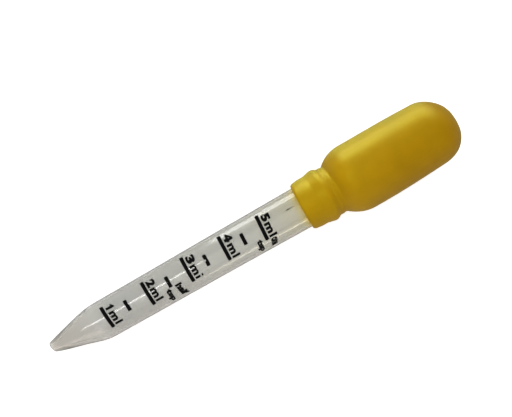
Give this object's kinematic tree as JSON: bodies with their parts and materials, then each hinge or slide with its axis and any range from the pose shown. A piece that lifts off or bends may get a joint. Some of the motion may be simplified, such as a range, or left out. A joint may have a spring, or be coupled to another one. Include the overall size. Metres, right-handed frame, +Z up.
{
  "type": "dropper pipette",
  "caption": "Dropper pipette: a clear graduated tube with a conical nozzle, and a soft squeeze bulb stretched over its rear end.",
  "frame": {"origin": "on the table, under the middle of the part's bounding box", "axes": "+X from the nozzle towards the bulb, +Z up; the bore's axis rises about 3.2 degrees towards the bulb"},
  "size_m": [0.1328, 0.0202, 0.0214],
  "materials": {
    "clear_plastic": "clear, polished",
    "soft_yellow": "soft satin"
  },
  "bodies": {
    "root": {"graduated_tube": "clear_plastic", "squeeze_bulb": "soft_yellow"}
  },
  "joints": []
}
